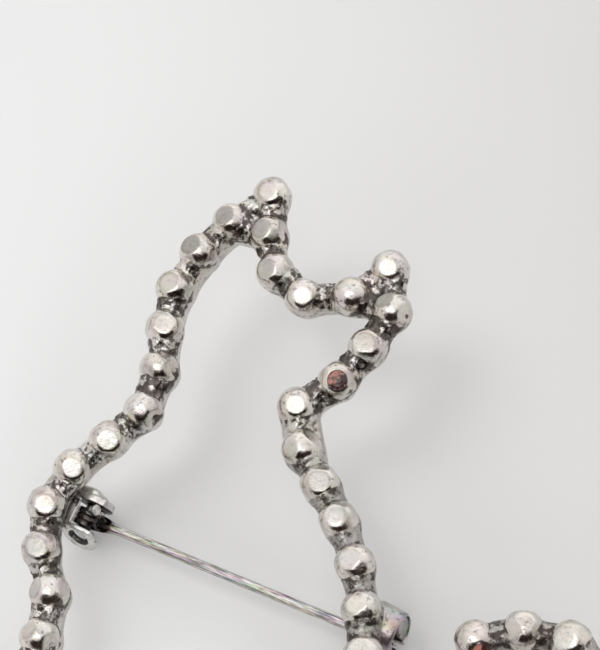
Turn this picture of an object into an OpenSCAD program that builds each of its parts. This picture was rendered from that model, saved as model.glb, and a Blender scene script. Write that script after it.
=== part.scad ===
// Cat brooch: a bent row of faceted beads on a backing strip, with two small
// set stones and, behind the chest, a hinged pin in a rotating safety catch.
// It is drawn in its own plane (x from hinge to catch, y to the head, z out of
// the face) and then laid down as it rests: on hinge, catch and lower edge.

/* [Beads] */
// Diameter of a bead
bead_d = 3.3; // [3.1:0.05:3.4]
// Distance across two opposite flats of a bead
bead_flats = 2.7; // [2.55:0.05:2.85]
// Diameter of the solder web between two beads
web_d = 1.5; // [1.3:0.1:1.6]

/* [Backing strip] */
// Width of the strip behind the beads
strip_w = 2.6; // [2:0.1:2.8]
// Thickness of the strip
strip_t = 0.8; // [0.6:0.1:1]
// Depth of the strip's back below the middle of the beads
strip_back = 1.9; // [1.8:0.05:2.1]

/* [Stones] */
// Diameter of a set stone
stone_d = 1.5; // [1.2:0.1:1.6]
// Height of a stone from its base to its table
stone_h = 0.75; // [0.6:0.05:0.9]
// Gap between a stone and its seat
stone_gap = 0.03; // [0.02:0.01:0.06]

/* [Hinge] */
// Place of the hinge axis across the brooch
hinge_x = -13.7; // [-14:0.1:-13.4]
// Depth of the hinge axis and the pin below the middle of the beads
pin_depth = 3.6; // [3.5:0.05:3.8]
// Outside radius of the rounded hinge ears
ear_r = 1.65; // [1.5:0.05:1.8]
// Thickness of one ear
ear_t = 0.7; // [0.5:0.05:0.8]
// Free width between the two ears
ear_gap = 2.2; // [2:0.1:2.4]
// Diameter of the hollow hinge rivet
rivet_d = 1.2; // [1:0.05:1.3]
// Bore of the hollow rivet
rivet_bore = 0.7; // [0.5:0.05:0.8]

/* [Pin] */
// Diameter of the pin wire
wire_d = 0.8; // [0.7:0.05:0.9]
// Length of the pin from the hinge axis to the tip
pin_len = 28.4; // [28.2:0.1:29]
// Length of the ground point, which starts short of the catch
point_len = 3.6; // [3.2:0.1:4.4]
// Outside diameter of the knuckle round the rivet
knuckle_d = 2.3; // [2.1:0.05:2.4]
// Width of the knuckle
knuckle_w = 2; // [1.8:0.05:2]

/* [Catch] */
// Outside radius of the fixed housing
housing_r = 2.15; // [2.05:0.05:2.2]
// Outside radius of the turning sleeve
sleeve_r = 1.65; // [1.6:0.05:1.7]
// Bore radius of the turning sleeve
sleeve_bore = 1.18; // [1.16:0.01:1.22]
// Width of the housing along the pin
housing_w = 1.9; // [1.7:0.1:2.1]
// Width of the slot that the pin goes in by
slot_w = 1; // [0.95:0.01:1.1]
// Reach of the finger tab from the catch's axis
tab_reach = 3.1; // [2.8:0.1:3.3]

/* [Hidden] */
$fn = 48;

// A row of beads is a table of stretches, each an arc of evenly spaced beads:
// where its last bead sits, how far its middle lies to the left of the straight
// line of travel, and how many beads it adds
END_X = 0;
END_Y = 1;
BULGE = 2;
BEADS = 3;

// From the corner of the front ear down the face, throat, chest and leg to the
// toe, along the ground, and up and over the tail to its tip
ear_corner = [-12.5, 26.9];
ground_y = -29.4;
front_row = [
    // end x, end y, bulge, beads
    [-14.4, 19.9, -0.45, 2],
    [-12.3, 13, -0.45, 2],
    [-13.9, 6.1, 1.2, 2],
    [-16.3, -0.7, -0.6, 2],
    [-12.1, -7.3, -0.6, 2],
    [-10.7, -18.4, 0.65, 3],
    [-12.8, -25.8, 0.35, 2],
    [-14.3, ground_y, 0, 1],
    [12.3, ground_y, 0, 7],
    [27, -24.6, -1, 4],
    [33.2, -11.4, -1.2, 4],
    [33.6, 0, -0.6, 3],
    [28.15, 4.8, -1, 2],
    [21.3, 2.05, -0.8, 2]
];

// From the same corner over the crown to the second ear, and down the
// forehead, nape and back to the haunch
back_row = [
    // end x, end y, bulge, beads
    [-8.9, 27, 0, 1],
    [-3.7, 23, -1.05, 2],
    [3.75, 24.4, 0.9, 2],
    [2.1, 17.4, 0.3, 2],
    [1.9, 11.1, -2.3, 2],
    [7.4, 6.85, 0, 2],
    [12.2, 0.95, 0.35, 2],
    [16.9, -12.6, 0.5, 4],
    [14.2, -26.2, 0.9, 4]
];

// Ear tips, each with the two row beads that it is joined to
front_ear = [-10.2, 30.3];
back_ear = [2.05, 27.7];

// A point at fraction t of the way along an arc from a to b, whose middle is
// raised by the bulge
function left_of(a, b) = [a.y - b.y, b.x - a.x] / norm(b - a);
function arc_point(a, b, bulge, t) =
    a + (b - a) * t + left_of(a, b) * bulge * 4 * t * (1 - t);
function stretch(a, row) = let (b = [row[END_X], row[END_Y]])
    [for (i = [1 : row[BEADS]]) arc_point(a, b, row[BULGE], i / row[BEADS])];
function row_end(start, rows, i) = i < 0 ? start : [rows[i][END_X], rows[i][END_Y]];
function bead_row(start, rows) = concat([start],
    [for (i = [0 : len(rows) - 1]) each stretch(row_end(start, rows, i - 1), rows[i])]);

function beads_in(rows, n) = n == 0 ? 0 : rows[n - 1][BEADS] + beads_in(rows, n - 1);

front_beads = bead_row(ear_corner, front_row);
back_beads = bead_row(ear_corner, back_row);
last_front = len(front_beads) - 1;

// Beads that carry a stone, with the lean of the stone from the brooch's face
// and the heading of that lean
LEAN = 0;
HEADING = 1;
face_seat = back_beads[7];
face_turn = [22, -34];
tail_seat = front_beads[last_front];
tail_turn = [58, -34];

// Joints beside the two rows: each ear tip to the two beads that it stands on,
// and the haunch to the ground row
haunch = back_beads[len(back_beads) - 1];
ground_stretches = 9;
ground_end = beads_in(front_row, ground_stretches);
links = [
    [front_ear, front_beads[0]],
    [front_ear, back_beads[1]],
    [back_ear, back_beads[4]],
    [back_ear, back_beads[5]],
    [haunch, front_beads[ground_end]],
    [haunch, front_beads[ground_end + 1]]
];

// Heights in the brooch's plane
bead_r = bead_d / 2;
web_start = 1;
plate_t = 0.45;
plate_gap = 0.35;
plate_len = 1.7;
plate_reach = 2.75;
plate_z = -strip_back - plate_gap - plate_t;

// Hinge and catch
ear_bore = rivet_d / 2 + 0.01;
knuckle_bore = rivet_d / 2 + 0.05;
hinge_half = ear_gap / 2 + ear_t;
housing_bore = sleeve_r + 0.05;
housing_x = 12.3;
catch_y = 0.7;
tab_w = 0.8;
tab_t = 0.7;
tab_play = 0.06;
sleeve_turn = 70;

// The brooch lies with the lower corner of a hinge ear, the catch housing and
// the back edge of the ground row on one plane
hinge_low = [-hinge_half, -pin_depth - ear_r];
ground_low = [ground_y - strip_w / 2, -strip_back];
rest_tilt = atan((ground_low.y - hinge_low.y) / (hinge_low.x - ground_low.x));
floor_z = hinge_low.x * sin(rest_tilt) + hinge_low.y * cos(rest_tilt);
catch_z = (floor_z + housing_r - catch_y * sin(rest_tilt)) / cos(rest_tilt);

// Middle of the whole brooch as it lies
edge_r = (bead_d + bead_flats) / 4;
all_x = [for (p = concat(front_beads, back_beads)) p.x];
mid_x = (min(all_x) + max(all_x)) / 2;
low_y = ground_y * cos(rest_tilt) - edge_r;
high_y = front_ear.y * cos(rest_tilt) + edge_r;
mid_y = (low_y + high_y) / 2;

module lay_down() {
    translate([-mid_x, -mid_y, -floor_z])
    rotate([rest_tilt, 0, 0])
    children();
}

// A bead whose flats are square to its row, turned about the row by roll
module bead(place, along, roll) {
    translate([place.x, place.y, 0])
    rotate([0, 0, along])
    rotate([roll, 0, 0])
    intersection() {
        sphere(d = bead_d);
        cube(bead_flats, center = true);
    }
}

function heading(a, b) = atan2(b.y - a.y, b.x - a.x);

// The roll of the beads wanders along the row, as they were soldered by hand
function roll_of(i) = 16 * sin(i * 137) + 6 * sin(i * 61);

// A web starts and ends inside its two beads, short of their middles
module web(a, b) {
    translate([a.x, a.y, 0])
    rotate([0, 0, heading(a, b)])
    translate([web_start, 0, 0])
    rotate([0, 90, 0])
    cylinder(d = web_d, h = norm(b - a) - 2 * web_start);
}

module beads_of(beads, first) {
    last = len(beads) - 1;
    for (i = [first : last]) {
        before = beads[max(i - 1, 0)];
        after = beads[min(i + 1, last)];
        bead(beads[i], heading(before, after), roll_of(i));
    }
}

module webs_of(beads) {
    for (i = [1 : len(beads) - 1]) web(beads[i - 1], beads[i]);
}

// The strip's outline: each corner is moved out along the half angle there
function strip_side(beads, side) = [
    for (i = [0 : len(beads) - 1])
        let (last = len(beads) - 1)
        let (a = beads[max(i - 1, 0)])
        let (b = beads[min(i + 1, last)])
        let (into = left_of(a == beads[i] ? beads[0] : a, a == beads[i] ? b : beads[i]))
        let (out = left_of(b == beads[i] ? a : beads[i], b))
        let (mid = into + out)
        beads[i] + mid * side * strip_w / (mid * mid)
];
function reversed(list) = [for (i = [len(list) - 1 : -1 : 0]) list[i]];

module strip_of(beads) {
    polygon(concat(strip_side(beads, 1), reversed(strip_side(beads, -1))));
}

module backing_strip() {
    translate([0, 0, -strip_back])
    linear_extrude(strip_t) {
        strip_of(front_beads);
        strip_of(back_beads);
        for (link = links) strip_of(link);
    }
}

module ear_tips() {
    bead(front_ear, heading(front_beads[0], front_ear), 10);
    bead(back_ear, heading(back_beads[5], back_ear), -8);
    for (link = links) web(link[0], link[1]);
}

module at_seat(seat, turn) {
    translate([seat.x, seat.y, 0])
    rotate([0, 0, turn[HEADING]])
    rotate([0, turn[LEAN], 0])
    children();
}

module seat_bore(seat, turn) {
    at_seat(seat, turn)
    translate([0, 0, bead_flats / 2 - stone_h + 0.05])
    cylinder(d = stone_d + 2 * stone_gap, h = bead_r);
}

module stone(seat, turn) {
    girdle = stone_h * 0.6;
    at_seat(seat, turn)
    translate([0, 0, bead_flats / 2 - stone_h + 0.05 + stone_gap]) {
        cylinder(d = stone_d, h = girdle);
        translate([0, 0, girdle])
        cylinder(d1 = stone_d, d2 = stone_d * 0.6, h = stone_h - girdle);
    }
}

module across(x, z, r, w) {
    translate([x, w / 2, z])
    rotate([90, 0, 0])
    cylinder(r = r, h = w);
}

module along_pin(x, r, w) {
    translate([x, catch_y, catch_z])
    rotate([0, 90, 0])
    cylinder(r = r, h = w);
}

// Hinge bracket: a plate on a solder pad, with two rounded ears
module hinge_bracket() {
    pad_x = hinge_x - plate_reach;
    translate([pad_x, -hinge_half, plate_z])
    cube([plate_len, 2 * hinge_half, plate_t]);
    translate([pad_x, -1.4, plate_z + plate_t - 0.1])
    cube([1.2, 2.8, plate_gap + 0.5]);
    for (side = [-1, 1]) {
        translate([0, side * (ear_gap + ear_t) / 2, 0]) {
            across(hinge_x, -pin_depth, ear_r, ear_t);
            translate([hinge_x - 1.6, -ear_t / 2, plate_z - 0.5])
            cube([2.2, ear_t, plate_t + 0.5]);
        }
    }
}

module hinge_hollow() {
    across(hinge_x, -pin_depth, ear_bore, 3 * ear_gap);
}

// Slot for the pin: straight away from the brooch, as wide as slot_w
module pin_slot() {
    translate([housing_x - 0.5, -slot_w / 2, -pin_depth - 3])
    cube([housing_w + 1, slot_w, 3]);
}

module catch_housing() {
    along_pin(housing_x, housing_r, housing_w);
    translate([housing_x, catch_y - 1.2, -strip_back - 0.4])
    cube([housing_w, 2.4, 0.8]);
}

// The arc that the finger tab sweeps, cut through the housing's wall
module tab_window() {
    width = tab_w + 2 * tab_play;
    start = 180 - asin((tab_t / 2 + tab_play) / sleeve_r);
    sweep = sleeve_turn + 2 * (180 - start);
    translate([housing_x + (housing_w - width) / 2, catch_y, catch_z])
    rotate([90, 0, 90])
    rotate([0, 0, start])
    rotate_extrude(angle = sweep)
    translate([sleeve_r - 0.2, 0])
    square([1.5, width]);
}

module catch_hollow() {
    along_pin(housing_x - 1, housing_bore, housing_w + 2);
    pin_slot();
    tab_window();
}

module outline() {
    color("#a9a49f")
    lay_down()
    difference() {
        union() {
            beads_of(front_beads, 0);
            beads_of(back_beads, 1);
            webs_of(front_beads);
            webs_of(back_beads);
            backing_strip();
            ear_tips();
            hinge_bracket();
            catch_housing();
        }
        seat_bore(face_seat, face_turn);
        seat_bore(tail_seat, tail_turn);
        hinge_hollow();
        catch_hollow();
    }
}

module face_stone() {
    color("#a8736a")
    lay_down()
    stone(face_seat, face_turn);
}

module tail_stone() {
    color("#a8736a")
    lay_down()
    stone(tail_seat, tail_turn);
}

module hinge_rivet() {
    color("#8d8883")
    lay_down()
    difference() {
        across(hinge_x, -pin_depth, rivet_d / 2, ear_gap + 2 * ear_t - 0.3);
        across(hinge_x, -pin_depth, rivet_bore / 2, 3 * ear_gap);
    }
}

module pin_stem() {
    color("#b5b0aa")
    lay_down()
    difference() {
        union() {
            across(hinge_x, -pin_depth, knuckle_d / 2, knuckle_w);
            translate([hinge_x, 0, -pin_depth])
            rotate([0, 90, 0]) {
                cylinder(d = wire_d, h = pin_len - point_len);
                translate([0, 0, pin_len - point_len])
                cylinder(d1 = wire_d, d2 = 0.16, h = point_len);
            }
        }
        across(hinge_x, -pin_depth, knuckle_bore, 2 * knuckle_w);
    }
}

// Turning sleeve with a bore for the pin, a slot and a ridged finger tab
module catch_sleeve() {
    color("#9a958f")
    lay_down()
    difference() {
        union() {
            along_pin(housing_x, sleeve_r, housing_w);
            translate([housing_x + (housing_w - tab_w) / 2, catch_y - tab_reach, catch_z - tab_t / 2])
            cube([tab_w, tab_reach - sleeve_bore, tab_t]);
        }
        along_pin(housing_x - 1, sleeve_bore, housing_w + 2);
        pin_slot();
    }
}

outline();
face_stone();
tail_stone();
hinge_rivet();
pin_stem();
catch_sleeve();
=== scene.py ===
# Cat brooch: faceted silver beads soldered on a strip, drawn flat and laid on
# its back, on a pale surface under one large soft light.
from math import asin, atan, copysign, cos, degrees, dist, pi, radians, sin

import bmesh
import bpy
import numpy as np
from mathutils import Matrix, Vector


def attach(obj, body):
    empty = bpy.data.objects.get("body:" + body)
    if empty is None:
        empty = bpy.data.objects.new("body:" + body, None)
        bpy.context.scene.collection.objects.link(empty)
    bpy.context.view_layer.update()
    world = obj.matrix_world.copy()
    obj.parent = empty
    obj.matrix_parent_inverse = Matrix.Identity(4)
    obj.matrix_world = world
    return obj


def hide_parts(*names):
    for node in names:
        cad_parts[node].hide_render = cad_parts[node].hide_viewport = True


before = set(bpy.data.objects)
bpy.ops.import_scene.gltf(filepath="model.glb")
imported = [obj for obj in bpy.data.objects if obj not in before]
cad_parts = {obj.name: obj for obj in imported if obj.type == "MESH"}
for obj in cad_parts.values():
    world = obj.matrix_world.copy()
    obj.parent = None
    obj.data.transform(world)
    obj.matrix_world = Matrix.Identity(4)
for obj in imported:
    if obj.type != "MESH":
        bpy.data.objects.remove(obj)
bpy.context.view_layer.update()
rng = np.random.default_rng(7)

# Sizes in millimetres, as in the part's source
MM = 0.001
BEAD_R = 1.65
STRIP_W = 2.6
STRIP_BACK = 1.9
HINGE_X = -13.7
PIN_DEPTH = 3.6
EAR_R = 1.65
EAR_T = 0.7
EAR_GAP = 2.2
RIVET_R = 0.6
RIVET_BORE = 0.35
WIRE_R = 0.4
PIN_LEN = 28.4
POINT_LEN = 3.6
KNUCKLE_R = 1.15
KNUCKLE_W = 2
HOUSING_R = 2.15
HOUSING_X = 12.3
HOUSING_W = 1.9
SLEEVE_R = 1.65
SLEEVE_BORE = 1.18
CATCH_Y = 0.7
TAB_REACH = 3.1
TAB_W = 0.8
TAB_T = 0.7
TAB_PLAY = 0.06
PLATE_T = 0.45
PLATE_GAP = 0.35
PLATE_LEN = 1.7
PLATE_REACH = 2.75
PLATE_Z = -STRIP_BACK - PLATE_GAP - PLATE_T
HINGE_HALF = EAR_GAP / 2 + EAR_T

# Sizes in millimetres and degrees that only this model has
FLAT_H = 1.4
SEAT_H = 1.44
WEB_R = 1.16
WEB_Z = -0.42
WEB_BLEND = 0.17
WALL_HALF = 1.1
WALL_TOP = -0.45
WALL_ROUND = 0.14
WALL_BLEND = 0.2
FOOT_R = 1.22
UPPER_BLEND = 0.1
LOWER_BLEND = 0.4
NEAR = 3.6
LOWER_EAR_T = 0.45
EAR_LEAN = 18
EAR_SIDES = (1.32, 1.6)
LIP = 0.34
COIL_TURNS = 2.9
COIL_END = 115
RIBBON_W = 0.56
CUT_END = (HINGE_X + 0.97, 0.62, -PIN_DEPTH + 1.5)
CUT_TOWARDS = (0.889, 0.144, 0.435)
HOUSING_END = 0.6
HOUSING_ARC = (-95.4, 236)
SLEEVE_ARC = (-97.5, 223)
SLEEVE_END_ARC = (-88, 66)

# Rows of beads: each stretch is where its last bead sits, how far its middle
# lies to the left of the line of travel, and how many beads it adds
EAR_CORNER = (-12.5, 26.9)
GROUND_Y = -29.4
FRONT_ROW = [
    # end x, end y, bulge, beads
    (-14.4, 19.9, -0.45, 2),
    (-12.3, 13, -0.45, 2),
    (-13.9, 6.1, 1.2, 2),
    (-16.3, -0.7, -0.6, 2),
    (-12.1, -7.3, -0.6, 2),
    (-10.7, -18.4, 0.65, 3),
    (-12.8, -25.8, 0.35, 2),
    (-14.3, GROUND_Y, 0, 1),
    (12.3, GROUND_Y, 0, 7),
    (27, -24.6, -1, 4),
    (33.2, -11.4, -1.2, 4),
    (33.6, 0, -0.6, 3),
    (28.15, 4.8, -1, 2),
    (21.3, 2.05, -0.8, 2),
]
BACK_ROW = [
    (-8.9, 27, 0, 1),
    (-3.7, 23, -1.05, 2),
    (3.75, 24.4, 0.9, 2),
    (2.1, 17.4, 0.3, 2),
    (1.9, 11.1, -2.3, 2),
    (7.4, 6.85, 0, 2),
    (12.2, 0.95, 0.35, 2),
    (16.9, -12.6, 0.5, 4),
    (14.2, -26.2, 0.9, 4),
]
FRONT_EAR = (-10.2, 30.3)
BACK_EAR = (2.05, 27.7)
GROUND_END = 23

# Stones: lean from the brooch's face and heading of the lean, in degrees
FACE_TURN = (22, -34)
TAIL_TURN = (58, -34)

# The flats that show on the beads in view: (lean, heading) of each, as for the stones
FRONT_FLATS = {
    0: [(14, 165)], 1: [(20, 172), (62, -100)], 2: [(6, -173)], 3: [(12, 14)],
    4: [(66, 16), (53, 69)], 5: [(70, -12), (46, 147)], 6: [(26, -31)], 7: [(25, -27)],
    8: [(24, -25)], 9: [(5, -55)], 10: [(41, -163), (72, 33)], 11: [(27, 171), (68, -3)],
    36: [(12, -132)], 37: [(34, -140)], 38: [(58, -34)],
}
BACK_FLATS = {
    1: [(18, -170), (73, 29)], 2: [(19, -131)], 3: [(23, -35)], 5: [(30, 150), (70, -4)],
    6: [(3, -46)], 7: [(22, -34)], 8: [(14, -26)], 9: [(31, -139), (74, 60)],
    10: [(10, -10)], 11: [(5, 9)], 12: [(6, -157)], 13: [(10, -174)],
}
EAR_FLATS = [[(7, -102)], [(13, -70)]]
PLAIN_BEAD = 4
FACE_SEAT = 7

# How far hand soldering left some beads off the even row, in millimetres
FRONT_NUDGES = {
    3: (0.2, 0.05), 4: (-0.1, 0), 5: (-0.1, 0), 6: (0.3, -0.15), 7: (0.35, -0.2), 8: (0.35, -0.2),
    9: (0.1, -0.1), 10: (-0.1, -0.05), 11: (-0.2, 0),
}
BACK_NUDGES = {
    4: (0.15, -0.15), 8: (0.2, -0.1), 9: (-0.05, 0), 10: (-0.1, 0), 11: (-0.15, -0.05),
    12: (-0.1, -0.05), 13: (-0.15, 0),
}

# Where the wall of strip and solder is narrower or wider than usual, by the
# bead that the stretch starts at, and for the links in their order
FRONT_WALL = {0: -0.08, 4: -0.28, 5: -0.25, 9: -0.15, 10: -0.15}
BACK_WALL = {
    0: -0.1, 1: -0.3, 2: -0.15, 3: -0.15, 4: -0.2, 5: -0.45, 6: -0.35, 7: -0.12, 8: 0.5, 11: -0.12,
    12: -0.12,
}
LINK_WALL = {0: -0.35, 1: -0.45, 2: -0.35, 3: -0.45}

# How much oxide each joint holds, from 0 to 1, by the bead it starts at
OXIDE = 0.55
FRONT_OXIDE = {
    0: 0.43, 1: 0.43, 2: 0.74, 3: 0.7, 4: 0.76, 5: 0.4, 6: 0.34, 7: 0.3, 8: 0.8, 9: 0.84, 10: 0.6,
}
BACK_OXIDE = {
    0: 0.65, 2: 0.64, 3: 0.47, 4: 0.63, 5: 0.8, 6: 0.7, 7: 0.85, 8: 0.42, 9: 0.3, 10: 0.24, 11: 0.36,
    12: 0.5,
}
LINK_OXIDE = {0: 0.5, 1: 0.5, 2: 0.66, 3: 0.62}

# Flats that are darker and rougher, from 0 to 1
FRONT_DULL = {0: 1.0, 1: 1.0, 2: 0.5, 9: 0.35, 10: 0.4}
BACK_DULL = {1: 0.7, 2: 0.6, 5: 0.8, 6: 0.3, 8: 0.3, 10: 0.75, 11: 0.4, 12: 0.2}

# The side of each bead where the solder ran up: a heading in the brooch's face;
# and the direction in the row frame of the middle of the dark patch painted on
# each bead, a painted shade that stands for dark reflections
RUN_SIDE = (0.72, -0.69)
PAINTED_SHADE_SIDE = (0.69, -0.68, 0.26)

# The photo's camera: where it is in millimetres, its axes and its lens in pixels
CAMERA_AT = (64.262, -54.32, 190.392)
CAMERA_RIGHT = (0.8752, 0.4482, -0.1819)
CAMERA_BACK = (0.3599, -0.3521, 0.864)
PICTURE_SIDE = 650
FOCAL_PIXELS = 2600
SENSOR = 36

# Light: directions in the row frame, angles in degrees
KEY_TOWARDS = (-0.598, 0.08, 0.797)
KEY_ANGLE = 34
KEY_POWER = 0.62
ROOM = (0.78, 0.77, 0.755)
DARK = (0.035, 0.024, 0.021)
ROOM_PATCHES = [
    # towards, outer and inner angle, radiance: ceiling, far side, key, softbox, dark side
    ((-0.05, 0.08, 1), 66, 16, (1.05, 1.05, 1.05)),
    ((-0.1, 0.92, 0.36), 65, 15, (1.2, 1.2, 1.2)),
    (KEY_TOWARDS, 13, 8, (1.25, 1.25, 1.25)),
    ((0.07, -0.29, 0.955), 25, 16, (2.1, 2.1, 2.1)),
    ((0.61, -0.7, 0.37), 31, 24, DARK),
    ((0.2, -0.84, 0.5), 31, 24, DARK),
    ((0.89, -0.36, 0.27), 31, 24, DARK),
]
LOW_RADIANCE = 1.82
HIGH_RADIANCE = 0.34
# The board's colour is a painted light falloff, lighter at the upper left than at the right.
FLOOR_LEFT = (0.872, 0.87, 0.868)
FLOOR_RIGHT = (0.785, 0.778, 0.765)
FLOOR_HALF = 2.0

# The silvers
SILVERS = {
    # light, worn, oxide and painted shade colour, polish, relief in metres, where oxide begins, tint
    "bead": ((0.76, 0.715, 0.67), (0.63, 0.585, 0.54), (0.05, 0.036, 0.03), 0.08, 3.6e-5, 0.35, 0.2),
    "solder": ((0.74, 0.7, 0.66), (0.55, 0.51, 0.475), (0.045, 0.033, 0.028), 0.09, 7.0e-5, 0.4, 0.2),
    "fitting": ((0.66, 0.65, 0.63), (0.44, 0.435, 0.42), (0.018, 0.015, 0.014), 0.14, 4e-5, 0.3, 0.2),
    "hinge": ((0.86, 0.84, 0.81), (0.66, 0.65, 0.63), (0.018, 0.015, 0.014), 0.32, 4.0e-5, 0.3, 0.2),
    "catch": ((0.53, 0.51, 0.485), (0.42, 0.4, 0.38), (0.06, 0.045, 0.04), 0.27, 3.0e-5, 0.3, 0.36),
}


def unit(vector):
    v = np.array(vector, float)
    return v / np.linalg.norm(v)


def lengths(vectors):
    return np.linalg.norm(vectors, axis=1)


def smooth(x, low, high):
    t = np.clip((x - low) / (high - low), 0, 1)
    return t * t * (3 - 2 * t)


def pairs_of(row):
    return list(zip(row[:-1], row[1:]))


# Rows and the lay-down, worked out as the part's source does

def left_of(a, b):
    d = np.subtract(b, a)
    return unit([-d[1], d[0]])


def bead_row(start, rows):
    beads, a = [np.array(start, float)], np.array(start, float)
    for x, y, bulge, count in rows:
        b = np.array([x, y], float)
        for i in range(1, count + 1):
            t = i / count
            beads.append(a + (b - a) * t + left_of(a, b) * bulge * 4 * t * (1 - t))
        a = b
    return beads


front = bead_row(EAR_CORNER, FRONT_ROW)
back = bead_row(EAR_CORNER, BACK_ROW)
ears = np.array([FRONT_EAR, BACK_EAR])
links = [(ears[0], front[0]), (ears[0], back[1]), (ears[1], back[4]), (ears[1], back[5])]
links += [(back[-1], front[GROUND_END]), (back[-1], front[GROUND_END + 1])]

hinge_low = (-HINGE_HALF, -PIN_DEPTH - EAR_R)
ground_low = (GROUND_Y - STRIP_W / 2, -STRIP_BACK)
TILT = atan((ground_low[1] - hinge_low[1]) / (hinge_low[0] - ground_low[0]))
COS, SIN = cos(TILT), sin(TILT)
FLOOR_Z = hinge_low[0] * SIN + hinge_low[1] * COS
CATCH_Z = (FLOOR_Z + HOUSING_R - CATCH_Y * SIN) / COS
CATCH_AXIS = (HOUSING_X + HOUSING_W / 2, CATCH_Y, CATCH_Z)
front_places = [p + FRONT_NUDGES.get(i, (0, 0)) for i, p in enumerate(front)]
back_places = [p + BACK_NUDGES.get(i, (0, 0)) for i, p in enumerate(back)]
all_x = [p[0] for p in front + back]
MIDDLE = [(min(all_x) + max(all_x)) / 2, (GROUND_Y + FRONT_EAR[1]) / 2 * COS, FLOOR_Z]
TIP = np.array([[1, 0, 0], [0, COS, SIN], [0, -SIN, COS]])


def tipped(directions):
    """Directions in the brooch's plane as directions in the row frame."""
    return np.asarray(directions, float) @ TIP


def lay(points):
    """Brooch-plane millimetres to the row frame's metres."""
    return (tipped(points) - MIDDLE) * MM


def from_row(points):
    """The row frame's metres to brooch-plane millimetres."""
    return (points / MM + MIDDLE) @ TIP.T


# Meshes

def add_object(name, data):
    obj = bpy.data.objects.new(name, data)
    bpy.context.scene.collection.objects.link(obj)
    return obj


def make_object(name, points, faces, marks, normals=None, flat_shaded=False):
    """A mesh object from brooch-plane points, with float attributes in marks."""
    mesh = bpy.data.meshes.new(name)
    mesh.from_pydata(lay(points).tolist(), [], [list(map(int, f)) for f in faces])
    for key, values in marks.items():
        layer = mesh.attributes.new(key, "FLOAT", "POINT")
        layer.data.foreach_set("value", np.asarray(values, np.float32))
    mesh.polygons.foreach_set("use_smooth", [not flat_shaded] * len(mesh.polygons))
    if normals is not None:
        mesh.normals_split_custom_set_from_vertices(tipped(normals).tolist())
    mesh.update()
    return add_object(name, mesh)


def finish_piece(obj, body, slot, material, *nodes):
    obj.data.materials.append(material)
    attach(obj, body)
    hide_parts(*nodes)


class Shape:
    """Points and faces gathered from several parts of one piece."""

    def __init__(self):
        self.points, self.faces, self.grime, self.count = [], [], [], 0

    def add(self, points, faces, grime=0.0):
        points = np.asarray(points, float)
        self.points.append(points)
        self.faces += [[i + self.count for i in f] for f in faces]
        self.grime.append(np.broadcast_to(grime, len(points)).astype(float))
        self.count += len(points)

    def object(self, name):
        marks = {"grime": np.concatenate(self.grime)}
        return make_object(name, np.concatenate(self.points), self.faces, marks)


def icosphere(level):
    bm = bmesh.new()
    bmesh.ops.create_icosphere(bm, subdivisions=level, radius=1)
    points = np.array([v.co[:] for v in bm.verts])
    faces = np.array([[v.index for v in f.verts] for f in bm.faces])
    bm.free()
    return points / lengths(points)[:, None], faces


def turned(lean, heading):
    """Unit vector that leans from the face's normal towards a heading."""
    a, b = radians(lean), radians(heading)
    return np.array([sin(a) * cos(b), sin(a) * sin(b), cos(a)])


# Beads

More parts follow.
